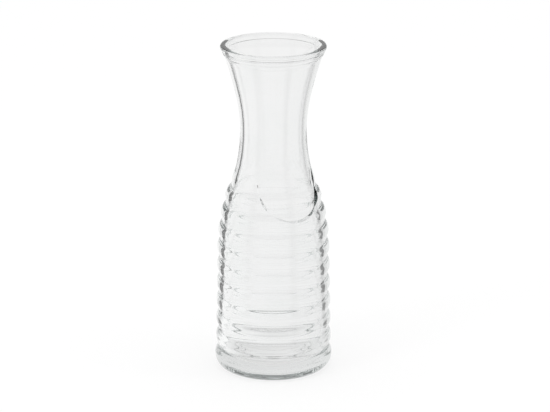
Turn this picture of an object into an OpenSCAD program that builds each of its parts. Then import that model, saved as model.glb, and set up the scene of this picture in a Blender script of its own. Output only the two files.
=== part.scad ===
// Ribbed glass carafe without a handle, standing on its foot ring, mouth up.
// The glass is one moulding. It is drawn as five zones that meet on flat rings:
// the foot, the ribbed body, the shoulder with its smooth grip, the neck and the lip.
// Millimetres. The origin is the centre of the foot ring on the table, +Z is up, and the grip faces -Y.

/* [Overall] */
// Height from the table to the top of the lip
height = 280; // [265:1:320]

/* [Foot] */
// How far the flat ring that the carafe stands on lies inside the heel
heel_turn = 9; // [5:0.1:11]
// Width of that flat ring
foot_ring_w = 7; // [4:0.5:12]
// Rise of the hollow under the foot
punt_h = 1.5; // [0.5:0.5:2.5]
// Height of the heel at its widest
heel_z = 11.3; // [8:0.1:14]
// How far the heel stands out of the lowest groove
heel_depth = 2.5; // [1:0.1:4]
// Height of the cavity floor at its edge
floor_z = 4.5; // [4:0.5:8]
// Rise of the cavity floor towards its middle
floor_rise = 1; // [0.5:0.5:2]
// Radius of the corner between the cavity floor and the wall
floor_corner_r = 13; // [8:0.5:16]

/* [Body] */
// Height of the lowest groove
first_groove_z = 19.4; // [17:0.1:22]
// Radius at the bottom of the lowest groove
body_low_r = 46.9; // [44:0.1:48]
// How much narrower the body has become where it starts to turn in
body_taper = 1.7; // [0:0.1:4]
// Thickness of the wall behind the grooves
body_wall = 4.6; // [4:0.1:6]

/* [Ribs] */
// Height of one rib and its groove
rib_pitch = 15.8; // [12:0.1:17]
// Ribs on the body, below the shoulder
body_ribs = 7; // [5:1:7]
// Ribs on the shoulder, which fade out upwards
shoulder_ribs = 3; // [2:1:3]
// How far a rib stands out of its groove
rib_depth = 2; // [1:0.1:3]
// Width of the flat on the crest of a rib
rib_flat = 2.8; // [1:0.1:5]
// Height over which the shoulder's ribs fade out
rib_fade = 24; // [16:1:40]
// How much of the ribs' depth shows on the inner wall, as a share
inner_share = 0.6; // [0.2:0.1:0.8]

/* [Shoulder] */
// How far below the shoulder's lowest rib the body starts to turn in
turn_in_h = 26; // [10:1:40]
// Height of the round part of the curve from the body to the waist
round_h = 54; // [40:1:65]
// Height of the hollow part of that curve, up to the waist
hollow_h = 50.5; // [40:0.5:65]
// Outer radius of the waist, the narrowest part of the neck
waist_r = 27.7; // [24:0.1:32]

/* [Grip] */
// Width of the smooth grip
grip_w = 52; // [40:1:56]
// Height of the grip's lowest point above the shoulder's lower end
grip_lift = 8.5; // [2:0.5:15]
// Height of the grip's rounded lower end
grip_round_h = 18.5; // [12:0.5:24]
// Depth of the grip under the grooves at its lowest point
grip_sink = 0.5; // [0.2:0.1:0.8]

/* [Neck] */
// Thickness of the neck's wall
neck_wall = 3; // [2.5:0.1:4.5]

/* [Lip] */
// Outer radius of the lip
lip_r = 44.1; // [42:0.1:46]
// Depth of the lip's collar, from the top to its lower edge
lip_h = 7.6; // [7:0.1:11]
// Height of the step under the collar
lip_step_h = 2; // [1:0.1:3]
// Width of that step
lip_step_w = 1.5; // [0.5:0.1:2.5]
// Lean of the collar outwards, in degrees
lip_deg = 22; // [15:0.1:26]
// Radius of the outer rounding of the lip's bead
lip_round = 1.4; // [1:0.1:2.4]
// Radius of the inner rounding of the bead
mouth_round = 2.6; // [2:0.1:3]
// How far the inner rounding turns back under the bead, in degrees
mouth_tuck = 60; // [20:1:70]
// Width of the flat on top of the bead, between its two roundings
lip_flat = 2.8; // [1.5:0.1:3.5]

/* [Hidden] */
$fn = 96;
clear_glass = [0.86, 0.92, 0.9, 0.45];
small = 0.001;

// Points along a groove's side, each half of the heel, each curve of the wall, a rounding and the floor
groove_steps = 6;
heel_steps = 8;
curve_steps = 12;
lip_steps = 8;
floor_steps = 8;

// Heights where one zone ends and the next begins
body_z = first_groove_z;
shoulder_low_z = body_z + body_ribs * rib_pitch;
rib_top_z = shoulder_low_z + shoulder_ribs * rib_pitch;
neck_low_z = rib_top_z + rib_pitch / 2;
groove_w = rib_pitch - rib_flat;
lip_edge_z = height - lip_h;
lip_low_z = lip_edge_z - lip_step_h;

// The heel and the ring under it
heel_r = body_low_r + heel_depth;
foot_r = heel_r - heel_turn;

// The shoulder is two arcs that meet at turn_z, upright where they leave the body and the waist
body_top_r = body_low_r - body_taper;
shoulder_z = shoulder_low_z - turn_in_h;
turn_z = shoulder_z + round_h;
waist_z = turn_z + hollow_h;
shoulder_lean = 2 * atan((body_top_r - waist_r) / (waist_z - shoulder_z));
round_r = round_h / sin(shoulder_lean);
hollow_r = hollow_h / sin(shoulder_lean);
grip_z = shoulder_low_z + grip_lift;

// The lip's two roundings, each given by its centre
lip_round_r = lip_r - lip_round;
lip_round_z = height - lip_round;
mouth_round_r = lip_round_r - lip_flat;
mouth_round_z = height - mouth_round;
lip_cone_z = lip_round_z - lip_round * sin(lip_deg);
lip_cone_r = lip_round_r + lip_round * cos(lip_deg);
lip_edge_r = lip_cone_r - (lip_cone_z - lip_edge_z) * tan(lip_deg);
neck_top_r = lip_edge_r - lip_step_w;

// The mouth's cone runs from the neck's inner wall to the crease under the inner rounding
mouth_low_r = neck_top_r - neck_wall;
mouth_crease_z = mouth_round_z - mouth_round * sin(mouth_tuck);
mouth_crease_r = mouth_round_r - mouth_round * cos(mouth_tuck);
mouth_slope = (mouth_crease_r - mouth_low_r) / (mouth_crease_z - lip_low_z);

// Half the depth of a circle of radius r at distance d from its centre
function chord(r, d) = sqrt(max(0, r * r - d * d));

// The neck's flare from the waist, 0, to the lip, 1: hollow at first, then nearly straight
function flare(share) = share * share * (3 - share) / 2;

// Radius of the smooth outside, without ribs, from the lowest groove to the lip
function core_r(z) =
    z < shoulder_z ? body_low_r + (body_top_r - body_low_r) * (z - body_z) / (shoulder_z - body_z)
    : z < turn_z ? body_top_r - round_r + chord(round_r, z - shoulder_z)
    : z < waist_z ? waist_r + hollow_r - chord(hollow_r, waist_z - z)
    : waist_r + (neck_top_r - waist_r) * flare((z - waist_z) / (lip_low_z - waist_z));

// Rise of a groove's side, from 0 at its bottom to 1 where it meets the flat of a rib
function rise(share) = (1 - cos(180 * min(1, share))) / 2;

// How far height z lies from the nearest groove
function off_groove(z) = let (off = (z - body_z) % rib_pitch) min(off, rib_pitch - off);

// How far the ribs stand out at height z
function rib_reach(z) = rib_depth * max(0, min(1, (rib_top_z - z) / rib_fade));
function rib_lift(z) = z < body_z ? 0 : rib_reach(z) * rise(2 * off_groove(z) / groove_w);

// The heel: a quarter of an ellipse up to its widest, then the side of the lowest groove
function heel_lift(z) = heel_depth * rise((body_z - z) / min(groove_w / 2, body_z - heel_z));
function heel_out_r(z) =
    z < heel_z ? foot_r + heel_turn * chord(1, 1 - z / heel_z) : body_low_r + heel_lift(z);

// The lip: the step under the collar, the collar's cone and the outer rounding
function lip_out_r(z) =
    z > lip_cone_z ? lip_round_r + chord(lip_round, z - lip_round_z)
    : z > lip_edge_z ? lip_cone_r - (lip_cone_z - z) * tan(lip_deg)
    : lip_edge_r - lip_step_w * (lip_edge_z - z) / lip_step_h;

// Outer radius of the glass at height z
function outer_r(z) =
    z < body_z ? heel_out_r(z)
    : z < rib_top_z ? core_r(z) + rib_lift(z)
    : z <= lip_low_z ? core_r(z)
    : lip_out_r(z);

// Inner radius of the glass at height z, from the cavity floor to the mouth
function wall_t(z) =
    z < shoulder_z ? body_wall
    : z > waist_z ? neck_wall
    : body_wall + (neck_wall - body_wall) * (z - shoulder_z) / (waist_z - shoulder_z);
function corner_cut(z) = floor_corner_r - chord(floor_corner_r, max(0, floor_z + floor_corner_r - z));
function inner_r(z) =
    z > mouth_crease_z ? mouth_round_r - chord(mouth_round, z - mouth_round_z)
    : z > lip_low_z ? mouth_low_r + (z - lip_low_z) * mouth_slope
    : core_r(z) + inner_share * rib_lift(z) - wall_t(z) - corner_cut(z);

// Evenly spaced heights from a to b, and heights on a rounding from an angle up to its top
function even(a, b, n) = [for (i = [0:n]) a + (b - a) * i / n];
function rounded(middle_z, r, start, n) = [for (i = [0:n]) middle_z + r * sin(start + (90 - start) * i / n)];

// Heights of the points of one rib above the groove under it
rib_heights = concat(
    [for (i = [1:groove_steps]) groove_w / 2 * i / groove_steps],
    [rib_pitch / 2],
    [for (i = [groove_steps:-1:0]) rib_pitch - groove_w / 2 * i / groove_steps]);

// Heights at which the outside and the inside have a point, from low to high
outer_heights = concat(
    [for (i = [heel_steps:-1:1]) heel_z * (1 - sin(90 * i / heel_steps))],
    even(heel_z, body_z, heel_steps),
    [for (k = [0:body_ribs + shoulder_ribs - 1], h = rib_heights) body_z + rib_pitch * k + h],
    even(rib_top_z, waist_z, curve_steps),
    even(waist_z, lip_low_z, curve_steps),
    [lip_edge_z],
    rounded(lip_round_z, lip_round, -lip_deg, lip_steps));
inner_heights = concat(
    [for (i = [floor_steps:-1:0]) floor_z + floor_corner_r * (1 - sin(90 * i / floor_steps))],
    [body_z],
    [for (k = [0:body_ribs + shoulder_ribs - 1], h = rib_heights) body_z + rib_pitch * k + h],
    even(rib_top_z, waist_z, curve_steps),
    even(waist_z, lip_low_z, curve_steps),
    rounded(mouth_round_z, mouth_round, -mouth_tuck, lip_steps));

// The heights of a list that lie between a and b, with a and b themselves at the ends
function within(list, a, b) = concat([a], [for (z = list) if (z > a + small && z < b - small) z], [b]);
function outside(a, b) = [for (z = within(outer_heights, a, b)) [outer_r(z), z]];
function inside(a, b) = [for (z = within(inner_heights, a, b)) [inner_r(z), z]];
function reversed(list) = [for (i = [len(list) - 1:-1:0]) list[i]];

// Points on a low dome, from the axis to just short of its edge at radius r and height z
function dome(r, z, rise) =
    [for (i = [0:floor_steps - 1]) [r * i / floor_steps, z + rise * (1 - pow(i / floor_steps, 2))]];

// One zone of the wall, between heights a and b
module wall_zone(a, b) {
    color(clear_glass)
        rotate_extrude() polygon(concat(outside(a, b), reversed(inside(a, b))));
}

// Thick foot with a hollow underneath, and the cavity's floor
module foot() {
    punt_r = foot_r - foot_ring_w;
    under = concat(dome(punt_r, 0, punt_h), [[punt_r, 0]]);
    cavity = concat(dome(inner_r(floor_z), floor_z, floor_rise), inside(floor_z, body_z));
    color(clear_glass)
        rotate_extrude() polygon(concat(under, outside(0, body_z), reversed(cavity)));
}

// Straight part of the body, with its ribs
module ribbed_body() wall_zone(body_z, shoulder_low_z);

// Outline of the grip seen from the front: a half ellipse with upright sides above it
module grip_outline() {
    side = grip_w / 2;
    bend_z = grip_z + grip_round_h;
    arc = [for (a = [180:7.5:360]) [side * cos(a), bend_z + grip_round_h * sin(a)]];
    polygon(concat(arc, [[side, neck_low_z], [-side, neck_low_z]]));
}

// What the grip takes away: all that stands outside a smooth wall that rises to meet the neck
module grip_cut() {
    reach = 2 * body_low_r;
    low = grip_z - rib_pitch / 2;
    sink = function(z) grip_sink * (1 - pow((z - grip_z) / (rib_top_z - grip_z), 2));
    smooth = [for (z = even(low, neck_low_z, 2 * curve_steps)) [core_r(z) - sink(z), z]];
    intersection() {
        rotate([90, 0, 0]) linear_extrude(reach) grip_outline();
        rotate_extrude() polygon(concat(smooth, [[reach, neck_low_z], [reach, low]]));
    }
}

// Shoulder, whose ribs stop at a smooth grip in front
module shoulder() {
    difference() {
        wall_zone(shoulder_low_z, neck_low_z);
        grip_cut();
    }
}

// Smooth neck from the shoulder through the waist to the collar
module neck() wall_zone(neck_low_z, lip_low_z);

// Flared lip with its collar
module lip() wall_zone(lip_low_z, height);

foot();
ribbed_body();
shoulder();
neck();
lip();
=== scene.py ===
# %% [markdown]
# A ribbed glass carafe
#
# This lesson dresses one piece of tableware: a tall carafe of clear moulded glass, with ribs round
# its body, a smooth grip on its shoulder, a narrow waist and a flared lip. The solids of the part
# are already packed and measured, so the first step loads them as a frame and keeps their outer box.
# Everything made later is in metres and sits where those solids sit.

# %% Load the frame
import math

import bmesh
import bpy
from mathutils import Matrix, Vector


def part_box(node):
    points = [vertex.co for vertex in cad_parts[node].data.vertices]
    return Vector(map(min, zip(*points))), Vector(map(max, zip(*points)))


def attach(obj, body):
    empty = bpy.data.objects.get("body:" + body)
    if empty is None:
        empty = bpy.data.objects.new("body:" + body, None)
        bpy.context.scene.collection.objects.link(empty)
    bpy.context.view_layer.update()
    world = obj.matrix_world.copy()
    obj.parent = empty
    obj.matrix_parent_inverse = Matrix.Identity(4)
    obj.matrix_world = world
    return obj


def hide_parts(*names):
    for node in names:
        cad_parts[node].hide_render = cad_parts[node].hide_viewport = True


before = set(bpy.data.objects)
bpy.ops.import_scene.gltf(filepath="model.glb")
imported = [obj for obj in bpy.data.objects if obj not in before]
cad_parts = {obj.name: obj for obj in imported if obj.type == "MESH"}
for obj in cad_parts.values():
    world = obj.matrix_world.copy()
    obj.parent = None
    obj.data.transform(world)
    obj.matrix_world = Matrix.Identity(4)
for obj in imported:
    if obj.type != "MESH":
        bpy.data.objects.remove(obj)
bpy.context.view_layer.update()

# %% [markdown]
# Sizes
#
# The moulding is drawn as five solids, from the foot to the lip. Their meeting heights and outer radii
# come straight from the frame, so the glass made here can't drift away from them. The few sizes that a
# box can't tell, such as the depth of a rib, are written down once, in metres.

# %% Sizes of the glass
MM = 0.001


def top_of(node):
    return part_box(node)[1].z


def radius_of(node):
    low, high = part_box(node)
    return (high.y - low.y) / 2


body_z = top_of("foot")
shoulder_low_z = top_of("ribbed_body")
lip_low_z = top_of("neck")
height = top_of("lip")

heel_r = radius_of("foot")
lip_r = radius_of("lip")

body_ribs = 7
shoulder_ribs = 3
rib_pitch = (shoulder_low_z - body_z) / body_ribs
rib_top_z = shoulder_low_z + shoulder_ribs * rib_pitch
rib_depth = 2 * MM
rib_flat = 2.8 * MM
rib_fade = 24 * MM
inner_share = 0.6
groove_w = rib_pitch - rib_flat

heel_z = 11.3 * MM
heel_depth = 2.5 * MM
heel_turn = 9 * MM
foot_ring_w = 7 * MM
punt_h = 1.5 * MM
floor_z = 4.5 * MM
floor_rise = 1 * MM
floor_corner_r = 13 * MM

body_low_r = heel_r - heel_depth
body_taper = 1.7 * MM
body_top_r = body_low_r - body_taper
body_wall = 4.6 * MM
neck_wall = 3 * MM
foot_r = heel_r - heel_turn
punt_r = foot_r - foot_ring_w

turn_in_h = 26 * MM
round_h = 54 * MM
hollow_h = 50.5 * MM
shoulder_z = shoulder_low_z - turn_in_h
turn_z = shoulder_z + round_h
waist_z = turn_z + hollow_h
waist_r = 27.7 * MM

lip_h = 7.6 * MM
lip_edge_z = height - lip_h
lip_step_w = 1.5 * MM
lip_lean = math.radians(22)
lip_round = 1.4 * MM
mouth_round = 2.6 * MM
mouth_tuck = math.radians(60)
lip_flat = 2.8 * MM
print("Glass: height %.3f m, heel radius %.4f m, rib pitch %.4f m" % (height, heel_r, rib_pitch))

# %% [markdown]
# The outline of the wall
#
# A turned shape is known by two curves: the radius of the outside and of the inside at every height.
# The outside is a smooth core, which tapers, draws in over two arcs to the waist and flares to the
# lip, plus the ribs that stand on it. Blown glass is soft when it meets the ribbed mould, so the inner
# wall follows the ribs too, less deeply. Writing these curves as functions keeps them exact at any
# number of points.

# %% Radius of the outside and of the inside at a height
shoulder_lean = 2 * math.atan((body_top_r - waist_r) / (waist_z - shoulder_z))
round_r = (turn_z - shoulder_z) / math.sin(shoulder_lean)
hollow_r = (waist_z - turn_z) / math.sin(shoulder_lean)

lip_round_r = lip_r - lip_round
lip_round_z = height - lip_round
lip_cone_z = lip_round_z - lip_round * math.sin(lip_lean)
lip_cone_r = lip_round_r + lip_round * math.cos(lip_lean)
lip_edge_r = lip_cone_r - (lip_cone_z - lip_edge_z) * math.tan(lip_lean)
neck_top_r = lip_edge_r - lip_step_w

mouth_round_r = lip_round_r - lip_flat
mouth_round_z = height - mouth_round
mouth_low_r = neck_top_r - neck_wall
mouth_crease_z = mouth_round_z - mouth_round * math.sin(mouth_tuck)
mouth_crease_r = mouth_round_r - mouth_round * math.cos(mouth_tuck)
mouth_slope = (mouth_crease_r - mouth_low_r) / (mouth_crease_z - lip_low_z)


def chord(radius, distance):
    """Half the chord of a circle at this distance from its middle."""
    return math.sqrt(max(0.0, radius * radius - distance * distance))


def rise(share):
    """Rise of a groove's side, from 0 at its bottom to 1 where it meets the flat of a rib."""
    return (1 - math.cos(math.pi * min(1.0, share))) / 2


def core_r(z):
    """Radius of the smooth outside without its ribs, from the lowest groove to the lip."""
    if z < shoulder_z:
        return body_low_r + (body_top_r - body_low_r) * (z - body_z) / (shoulder_z - body_z)
    if z < turn_z:
        return body_top_r - round_r + chord(round_r, z - shoulder_z)
    if z < waist_z:
        return waist_r + hollow_r - chord(hollow_r, waist_z - z)
    share = (z - waist_z) / (lip_low_z - waist_z)
    return waist_r + (neck_top_r - waist_r) * share * share * (3 - share) / 2


def rib_lift(z):
    """How far the rib at this height stands out of the core."""
    if z <= body_z or z >= rib_top_z:
        return 0.0
    off_groove = (z - body_z) % rib_pitch
    off_groove = min(off_groove, rib_pitch - off_groove)
    return rib_depth * min(1.0, (rib_top_z - z) / rib_fade) * rise(2 * off_groove / groove_w)


def outer_r(z):
    """Radius of the outside, from the foot to the top of the lip."""
    if z < heel_z:
        return foot_r + heel_turn * chord(1, 1 - z / heel_z)
    if z < body_z:
        return body_low_r + heel_depth * rise(2 * (body_z - z) / groove_w)
    if z <= lip_low_z:
        return core_r(z) + rib_lift(z)
    if z <= lip_edge_z:
        return lip_edge_r - lip_step_w * (lip_edge_z - z) / (lip_edge_z - lip_low_z)
    if z <= lip_cone_z:
        return lip_cone_r - (lip_cone_z - z) * math.tan(lip_lean)
    return lip_round_r + chord(lip_round, z - lip_round_z)


def inner_r(z):
    """Radius of the inside, from the cavity's floor to the top of the lip."""
    if z > mouth_crease_z:
        return mouth_round_r - chord(mouth_round, z - mouth_round_z)
    if z > lip_low_z:
        return mouth_low_r + (z - lip_low_z) * mouth_slope
    up = min(1.0, max(0.0, (z - shoulder_z) / (waist_z - shoulder_z)))
    wall = body_wall + (neck_wall - body_wall) * up
    corner = floor_corner_r - chord(floor_corner_r, max(0.0, floor_z + floor_corner_r - z))
    return core_r(z) + inner_share * rib_lift(z) - wall - corner


print("Waist radius %.4f m, neck meets lip at radius %.4f m" % (waist_r, neck_top_r))

# %% [markdown]
# Points along the outline
#
# A spin turns every point of an outline into a ring of faces, so points go only where the outline
# bends: close together on the ribs and roundings, and wide apart on the calm inner wall. The outline
# starts on the axis under the foot, runs up the outside, over the lip, and down the inside to the axis
# again, so that the spun skin is closed and light meets real glass with two sides.

# %% Points of the outline
GROOVE_ROWS = 6
FLAT_ROWS = 1
HEEL_ROWS = 12
CURVE_ROWS = 18
ROUND_ROWS = 10
FLOOR_ROWS = 10
STRAIGHT_ROWS = 3
CONE_ROWS = 4
SAME_HEIGHT = 0.01 * MM


def even(a, b, rows):
    return [a + (b - a) * i / rows for i in range(rows + 1)]


def rounded(middle_z, radius, start, end, rows):
    """Heights on a rounding, at even angles from start to end above its middle."""
    return [middle_z + radius * math.sin(angle) for angle in even(start, end, rows)]


def rib_heights():
    """Heights on all ribs: close together in the grooves and wide apart on the flats."""
    heights = []
    for rib in range(body_ribs + shoulder_ribs):
        low, high = body_z + rib * rib_pitch, body_z + (rib + 1) * rib_pitch
        heights += even(low, low + groove_w / 2, GROOVE_ROWS)
        heights += even(low + groove_w / 2, high - groove_w / 2, FLAT_ROWS)
        heights += even(high - groove_w / 2, high, GROOVE_ROWS)
    return heights


def dome(radius, z, up):
    """Points from the axis outwards on a shallow dome, without its edge."""
    return [(radius * i / FLOOR_ROWS, z + up * (1 - (i / FLOOR_ROWS) ** 2)) for i in range(FLOOR_ROWS)]


def ordered(heights):
    """The heights from low to high, without repeats."""
    kept = []
    for z in sorted(heights):
        if not kept or z - kept[-1] > SAME_HEIGHT:
            kept.append(z)
    return kept


outer_heights = ordered(
    rounded(heel_z, heel_z, -math.pi / 2, 0, HEEL_ROWS)
    + even(heel_z, body_z - groove_w / 2, STRAIGHT_ROWS)
    + even(body_z - groove_w / 2, body_z, GROOVE_ROWS)
    + rib_heights()
    + even(rib_top_z, waist_z, CURVE_ROWS)
    + even(waist_z, lip_low_z, CURVE_ROWS)
    + even(lip_low_z, lip_edge_z, STRAIGHT_ROWS)
    + even(lip_edge_z, lip_cone_z, CONE_ROWS)
    + rounded(lip_round_z, lip_round, -lip_lean, math.pi / 2, ROUND_ROWS)
)
inner_heights = ordered(
    rounded(floor_z + floor_corner_r, floor_corner_r, -math.pi / 2, 0, FLOOR_ROWS)
    + [body_z]
    + rib_heights()
    + even(rib_top_z, waist_z, CURVE_ROWS)
    + even(waist_z, lip_low_z, CURVE_ROWS)
    + even(lip_low_z, mouth_crease_z, STRAIGHT_ROWS)
    + rounded(mouth_round_z, mouth_round, -mouth_tuck, math.pi / 2, ROUND_ROWS)
)
under = dome(punt_r, 0, punt_h) + [(punt_r, 0.0)]
outside = [(outer_r(z), z) for z in outer_heights]
inside = [(inner_r(z), z) for z in reversed(inner_heights)]
cavity_floor = list(reversed(dome(inner_r(floor_z), floor_z, floor_rise)))
outline = under + outside + inside + cavity_floor
print("Outline:", len(outline), "points")

# %% [markdown]
# Spin the glass
#
# The outline becomes a chain of edges, and one spin of a full turn makes the skin. The first and last
# rings merge. The points on the axis come out once for every step, so doubles are merged, and then the
# normals are made to point outwards.

# %% Spin the glass
SPIN_STEPS = 200
SAME_POINT = 0.002 * MM

mesh = bpy.data.meshes.new("carafe_glass")
bm = bmesh.new()
chain = [bm.verts.new((r, 0.0, z)) for r, z in outline]
edges = [bm.edges.new(pair) for pair in zip(chain, chain[1:])]
bmesh.ops.spin(
    bm,
    geom=chain + edges,
    cent=(0, 0, 0),
    axis=(0, 0, 1),
    angle=2 * math.pi,
    steps=SPIN_STEPS,
    use_merge=True,
)
bmesh.ops.remove_doubles(bm, verts=bm.verts, dist=SAME_POINT)
bmesh.ops.recalc_face_normals(bm, faces=bm.faces)
print("Spun:", len(bm.verts), "points,", len(bm.faces), "faces")

# %% [markdown]
# The grip
#
# In front, the ribs of the shoulder stop at a smooth U. The mould cuts it straight across, so seen
# from the front it is half an ellipse with upright sides. Its edge is crisp, so the faces that
# the edge crosses are first cut finer. Then every point of the outside that lies in the U moves in to a
# smooth wall. A narrow slope stands for the rounded arris of the real glass.

# %% Where the grip is
grip_half_w = 26 * MM
grip_lift = 8.5 * MM
grip_z = shoulder_low_z + grip_lift
grip_round_h = 18.5 * MM
grip_sink = 0.5 * MM
grip_edge = 0.45 * MM
grip_margin = 2 * MM


def smooth(share):
    share = min(1.0, max(0.0, share))
    return share * share * (3 - 2 * share)


def inside_grip(x, z):
    """About how far a point lies inside the U, in metres. It is negative outside."""
    bend = grip_z + grip_round_h
    if z > bend:
        return grip_half_w - abs(x)
    across, down = x / grip_half_w, (bend - z) / grip_round_h
    reach = math.hypot(across, down)
    slope = math.hypot(across / grip_half_w, down / grip_round_h) / max(reach, 1e-6)
    return (1 - reach) / max(slope, 1e-6)


def on_shoulder(vert):
    """Whether a point lies on the front of the outside, at a height that the grip reaches."""
    x, y, z = vert.co
    in_reach = y < 0 and grip_z - grip_margin < z < rib_top_z
    return in_reach and math.hypot(x, y) > core_r(z) - neck_wall / 2


# %% Press the grip into the shoulder
GRIP_CUTS = 4

crossed = {
    edge
    for face in bm.faces
    if all(on_shoulder(vert) for vert in face.verts)
    and min(abs(inside_grip(vert.co.x, vert.co.z)) for vert in face.verts) < grip_margin
    for edge in face.edges
}
bmesh.ops.subdivide_edges(bm, edges=list(crossed), cuts=GRIP_CUTS, use_grid_fill=True)

for vert in bm.verts:
    if not on_shoulder(vert):
        continue
    x, y, z = vert.co
    ribbed_r = outer_r(z)
    sunk_r = core_r(z) - grip_sink * (1 - ((z - grip_z) / (rib_top_z - grip_z)) ** 2)
    pressed = smooth(0.5 + inside_grip(x, z) / (2 * grip_edge))
    scale = (ribbed_r + (min(ribbed_r, sunk_r) - ribbed_r) * pressed) / math.hypot(x, y)
    vert.co = (x * scale, y * scale, z)

bm.to_mesh(mesh)
bm.free()
mesh.shade_smooth()
glass = bpy.data.objects.new("carafe_glass", mesh)
bpy.context.scene.collection.objects.link(glass)
triangles = sum(len(face.vertices) - 2 for face in mesh.polygons)
print("Glass:", len(mesh.polygons), "faces,", triangles, "triangles")

# %% [markdown]
# Shader helpers
#
# Shader maths reads best as arithmetic. The small class below wraps an output socket, so that an
# expression such as `1 - mask * 0.5` adds the Math nodes that it needs. Any other node comes from one
# function that takes its type, its settings and its inputs.


# %% Shader helpers
class Wire:
    """An output socket. Arithmetic on it adds Math nodes to its tree."""

    def __init__(self, socket):
        self.socket = socket

    def math(self, operation, *others):
        inputs = dict(enumerate((self, *others)))
        node = add_node(self.socket.id_data, "ShaderNodeMath", {"operation": operation}, inputs)
        return Wire(node.outputs[0])

    def __add__(self, other):
        return self.math("ADD", other)

    def __sub__(self, other):
        return self.math("SUBTRACT", other)

    def __rsub__(self, other):
        return (self * -1).math("ADD", other)

    def __mul__(self, other):
        return self.math("MULTIPLY", other)

    __radd__ = __add__
    __rmul__ = __mul__


def add_node(tree, kind, settings=None, inputs=None):
    """A node of this kind, with its settings set first and then its inputs given values or wires."""
    node = tree.nodes.new(kind)
    for name, value in (settings or {}).items():
        setattr(node, name, value)
    for name, value in (inputs or {}).items():
        if isinstance(value, Wire):
            tree.links.new(value.socket, node.inputs[name])
        else:
            node.inputs[name].default_value = value
    return node


def new_tree(owner):
    """The owner's empty node tree."""
    owner.use_nodes = True
    owner.node_tree.nodes.clear()
    return owner.node_tree


# %% Ramps, products and noise
def ramp(tree, value, low, high):
    """A soft step from 0 at low to 1 at high."""
    inputs = {"Value": value, "From Min": low, "From Max": high}
    node = add_node(tree, "ShaderNodeMapRange", {"interpolation_type": "SMOOTHSTEP"}, inputs)
    return Wire(node.outputs["Result"])


def dot(tree, a, b):
    node = add_node(tree, "ShaderNodeVectorMath", {"operation": "DOT_PRODUCT"}, {0: a, 1: b})
    return Wire(node.outputs["Value"])


def noise(tree, place, scale, detail):
    """Noise from 0 to 1, with about this many spots to the metre."""
    inputs = {"Vector": place, "Scale": scale, "Detail": detail}
    return Wire(add_node(tree, "ShaderNodeTexNoise", inputs=inputs).outputs[0])


print("Shader helpers are ready")

# %% [markdown]
# The glass
#
# Soda-lime glass is nearly colourless. Its faint green-grey only shows where light runs far through it,
# so the tint is an absorption inside the wall and not a colour on its face. A fire-polished face has no
# grain, but it isn't flat: cooling leaves slow waves, which make the lines seen through the wall waver.
# Tables frost the ring that it stands on and scuff the heel at its widest, and handling leaves a thin
# film, so the polish is a little uneven. All of these are placed by the glass's own coordinates.

# %% Waves, film and wear
WAVES_PER_M = 40
WAVE_DEPTH = 0.15 * MM
FILM_SPOTS_PER_M = 30
SCUFFS_PER_M = 900
FROST_SPOTS_PER_M = 400
FILM_ROUGHNESS = 0.02
SCUFF_ROUGHNESS = 0.15
FROST_ROUGHNESS = 0.4

clear_glass = bpy.data.materials.new("clear_glass")
tree = new_tree(clear_glass)
place = Wire(add_node(tree, "ShaderNodeTexCoord").outputs["Object"])
z = Wire(add_node(tree, "ShaderNodeSeparateXYZ", inputs={"Vector": place}).outputs["Z"])

waves = noise(tree, place, WAVES_PER_M, 1)
film = ramp(tree, noise(tree, place, FILM_SPOTS_PER_M, 3), 0.5, 0.7)
at_heel = ramp(tree, (z - heel_z).math("ABSOLUTE"), 3 * MM, 1 * MM)
scuff = ramp(tree, noise(tree, place, SCUFFS_PER_M, 2), 0.62, 0.7) * at_heel
on_ring = ramp(tree, z, 0.3 * MM, 0.05 * MM)
frost = ramp(tree, noise(tree, place, FROST_SPOTS_PER_M, 4), 0.3, 0.6) * on_ring
roughness = film * FILM_ROUGHNESS + scuff * SCUFF_ROUGHNESS + frost * FROST_ROUGHNESS
print("Surface: waves %.2f mm deep, about %d to the metre" % (WAVE_DEPTH / MM, WAVES_PER_M))

# %% Glass material
CLEAN = (1.0, 1.0, 1.0, 1.0)
FILMED = (0.985, 0.99, 0.988, 1.0)
TINT = (0.785, 0.828, 0.82, 1.0)
TINT_DENSITY = 14.0
GLASS_IOR = 1.52

colours = {0: film, 6: CLEAN, 7: FILMED}
face_colour = add_node(tree, "ShaderNodeMix", {"data_type": "RGBA"}, colours).outputs[2]
bumps = {"Distance": WAVE_DEPTH, "Height": waves}
relief = add_node(tree, "ShaderNodeBump", inputs=bumps).outputs["Normal"]
shader = add_node(
    tree,
    "ShaderNodeBsdfPrincipled",
    inputs={
        "Base Color": Wire(face_colour),
        "Roughness": roughness,
        "IOR": GLASS_IOR,
        "Transmission Weight": 1.0,
        "Normal": Wire(relief),
    },
)
tint = {"Color": TINT, "Density": TINT_DENSITY}
inside_wall = add_node(tree, "ShaderNodeVolumeAbsorption", inputs=tint)
output = add_node(tree, "ShaderNodeOutputMaterial")
tree.links.new(shader.outputs["BSDF"], output.inputs["Surface"])
tree.links.new(inside_wall.outputs["Volume"], output.inputs["Volume"])
mesh.materials.append(clear_glass)

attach(glass, "root")
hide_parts("foot", "ribbed_body", "shoulder", "neck", "lip")
print("Glass material:", len(tree.nodes), "nodes")

# %% [markdown]
# The set
#
# Clear glass has no look of its own: it shows the set, bent. The carafe stands on white paper that runs
# up behind it. Seen straight, the paper is pure white. The light that the glass bends comes from all
# over the set, which is a little greyer, more so to the right and close to the foot. A dark card to each
# side of the back draws the wall's fine dark outlines. Two weaker cards in front do so for the views
# from behind, and the ceiling is dark too. Angles are counted from the back of the set, which lies
# straight behind the carafe in the photo.

# %% Brightness of the set
SET_AZIMUTH = math.radians(-27)
SET_LEVEL = 0.9
SET_LEAN = 0.1
CARDS = [(-46, 8, 2, 0.9), (56, 8, 3, 0.75), (-128, 8, 6, 0.4), (138, 8, 6, 0.4)]


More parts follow.
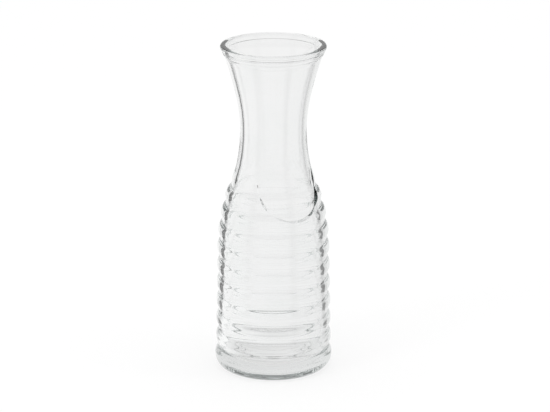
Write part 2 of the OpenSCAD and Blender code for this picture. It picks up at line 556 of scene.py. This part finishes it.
def set_angle(tree, direction):
    """Degrees from the back of the set to this direction. Right is positive."""
    right = (math.cos(SET_AZIMUTH), math.sin(SET_AZIMUTH), 0)
    back = (-math.sin(SET_AZIMUTH), math.cos(SET_AZIMUTH), 0)
    return dot(tree, direction, right).math("ARCTAN2", dot(tree, direction, back)) * (180 / math.pi)


def to_right(angle):
    """How far to the right an angle in degrees lies, from -1 to 1."""
    return (angle * (math.pi / 180)).math("SINE")


def set_level(tree, angle, shown):
    """How bright the set is at an angle, with its cards shown from 0 to 1.

    A card has a centre, half its width, a soft edge and a darkness.
    """
    level = SET_LEVEL - SET_LEAN * to_right(angle)
    for centre, half, soft, dark in CARDS:
        off = (angle - centre).math("WRAP", 180, -180).math("ABSOLUTE")
        level = level * (1 - ramp(tree, off, half + soft, half - soft) * shown * dark)
    return level


def bent_ray(tree):
    """1 for a ray that the glass has bent or mirrored, 0 for any other."""
    path = add_node(tree, "ShaderNodeLightPath")
    through, mirrored = Wire(path.outputs["Is Transmission Ray"]), Wire(path.outputs["Is Glossy Ray"])
    return through.math("MAXIMUM", mirrored)


print("Set: level %.2f with %d dark cards" % (SET_LEVEL, len(CARDS)))

# %% Surroundings
CARD_TOP = 0.4
CEILING_LOW = 0.35
CEILING_HIGH = 0.6
CEILING_DARK = 0.8

world = bpy.data.worlds.new("studio")
bpy.context.scene.world = world
tree = new_tree(world)
direction = Wire(add_node(tree, "ShaderNodeTexCoord").outputs["Generated"])
up = Wire(add_node(tree, "ShaderNodeSeparateXYZ", inputs={"Vector": direction}).outputs["Z"])
level = set_level(tree, set_angle(tree, direction), ramp(tree, up, CARD_TOP, CARD_TOP / 2))
level = level * (1 - CEILING_DARK * ramp(tree, up, CEILING_LOW, CEILING_HIGH))
level = 1 - bent_ray(tree) * (1 - level)
sky = add_node(tree, "ShaderNodeBackground", inputs={"Color": (1, 1, 1, 1), "Strength": level})
output = add_node(tree, "ShaderNodeOutputWorld")
tree.links.new(sky.outputs["Background"], output.inputs["Surface"])
print("Surroundings:", len(tree.nodes), "nodes")

# %% [markdown]
# The paper
#
# The paper is a large plain disc under the carafe. Most of what the camera sees of it is a white glow,
# so that it runs into the background without an edge. The rest is a matt white that catches the soft
# shadow of the carafe. The glass sees the same set in it as in the surroundings, with the cards starting
# a hand's width away. Near the foot a little shade is painted into its glow, most of it on the left,
# where the foot hides the light.

# %% Paper under the carafe
PAPER_RADIUS = 6.0
PAPER_GLOW = 0.8
CARD_NEAR, CARD_FAR = 0.09, 0.2
SHADE_NEAR, SHADE_FAR = 0.045, 0.07
PAINTED_FOOT_SHADE = 0.25

paper_mesh = bpy.data.meshes.new("studio_paper")
bm = bmesh.new()
bmesh.ops.create_circle(bm, cap_ends=True, segments=96, radius=PAPER_RADIUS)
bm.to_mesh(paper_mesh)
bm.free()
paper = bpy.data.objects.new("studio_paper", paper_mesh)
bpy.context.scene.collection.objects.link(paper)

white_paper = bpy.data.materials.new("white_paper")
tree = new_tree(white_paper)
place = Wire(add_node(tree, "ShaderNodeTexCoord").outputs["Object"])
distance = add_node(tree, "ShaderNodeVectorMath", {"operation": "LENGTH"}, {0: place})
distance = Wire(distance.outputs["Value"])
angle = set_angle(tree, place)
level = set_level(tree, angle, ramp(tree, distance, CARD_NEAR, CARD_FAR))
to_left = 0.5 - 0.5 * to_right(angle)
# Painted shade: the glow that the glass sees is darkened near the foot, most on its left, in place of the
# foot's shadow.
level = level * (1 - PAINTED_FOOT_SHADE * to_left * ramp(tree, distance, SHADE_FAR, SHADE_NEAR))
bent = bent_ray(tree)
level = 1 - bent * (1 - level)
straight = Wire(add_node(tree, "ShaderNodeLightPath").outputs["Is Camera Ray"])
matt = add_node(tree, "ShaderNodeBsdfDiffuse", inputs={"Color": (0.97, 0.97, 0.97, 1)})
glow = add_node(tree, "ShaderNodeEmission", inputs={"Color": (1, 1, 1, 1), "Strength": level})
share = bent + straight * PAPER_GLOW
parts = {0: share, 1: Wire(matt.outputs["BSDF"]), 2: Wire(glow.outputs["Emission"])}
sheet = add_node(tree, "ShaderNodeMixShader", inputs=parts)
output = add_node(tree, "ShaderNodeOutputMaterial")
tree.links.new(sheet.outputs["Shader"], output.inputs["Surface"])
paper_mesh.materials.append(white_paper)
print("Paper: %.0f m across" % (2 * PAPER_RADIUS))

# %% [markdown]
# Lamps
#
# Two large soft lamps, one on each side, give the paper its faint shadow. Their own mirror images would
# lie on every rib as white streaks, which a set with flagged lamps avoids, so the glass doesn't see them.


# %% Soft lamps at both sides
def soft_lamp(name, place, aim, width, length, power):
    """A rectangular lamp at one place that faces another."""
    data = bpy.data.lights.new(name, "AREA")
    data.shape = "RECTANGLE"
    data.size = width
    data.size_y = length
    data.energy = power
    lamp = bpy.data.objects.new(name, data)
    lamp.location = place
    lamp.rotation_euler = (Vector(aim) - Vector(place)).to_track_quat("-Z", "Y").to_euler()
    lamp.visible_glossy = False
    lamp.visible_transmission = False
    bpy.context.scene.collection.objects.link(lamp)


middle = (0, 0, height / 2)
soft_lamp("lamp_left", (-1.6, -0.4, 1.1), middle, 0.5, 1.2, 6)
soft_lamp("lamp_right", (1.2, -1.1, 0.9), middle, 0.3, 1.0, 3)
print("Lamps: 2")

# %% [markdown]
# The camera
#
# The photo is taken with a long lens from a little above, and the grip faces to the right of the camera.
# It looks at the back of the set. The direction, the height and the lens were found by matching the
# outlines of the foot, the waist and the lip. Light that enters glass bounces in it many times, so the
# ray depth is raised.

# %% Camera
IMAGE_WIDTH = 550
SHIFT_PIXELS = 1.6
camera_distance = 2.322
camera_height = 0.8664
camera_pitch = math.radians(17.362)

data = bpy.data.cameras.new("camera")
data.sensor_width = 36
data.lens = 189.7
data.shift_x = SHIFT_PIXELS / IMAGE_WIDTH
camera = bpy.data.objects.new("camera", data)
across, back = math.sin(SET_AZIMUTH), -math.cos(SET_AZIMUTH)
camera.location = (camera_distance * across, camera_distance * back, camera_height)
camera.rotation_euler = (math.pi / 2 - camera_pitch, 0, SET_AZIMUTH)
bpy.context.scene.collection.objects.link(camera)
bpy.context.scene.camera = camera

bpy.context.scene.view_settings.view_transform = "Standard"
cycles = bpy.context.scene.cycles
cycles.max_bounces = 32
cycles.transmission_bounces = 32
cycles.glossy_bounces = 16
print("Camera: %.0f mm lens, %.2f m away" % (data.lens, camera.location.length))
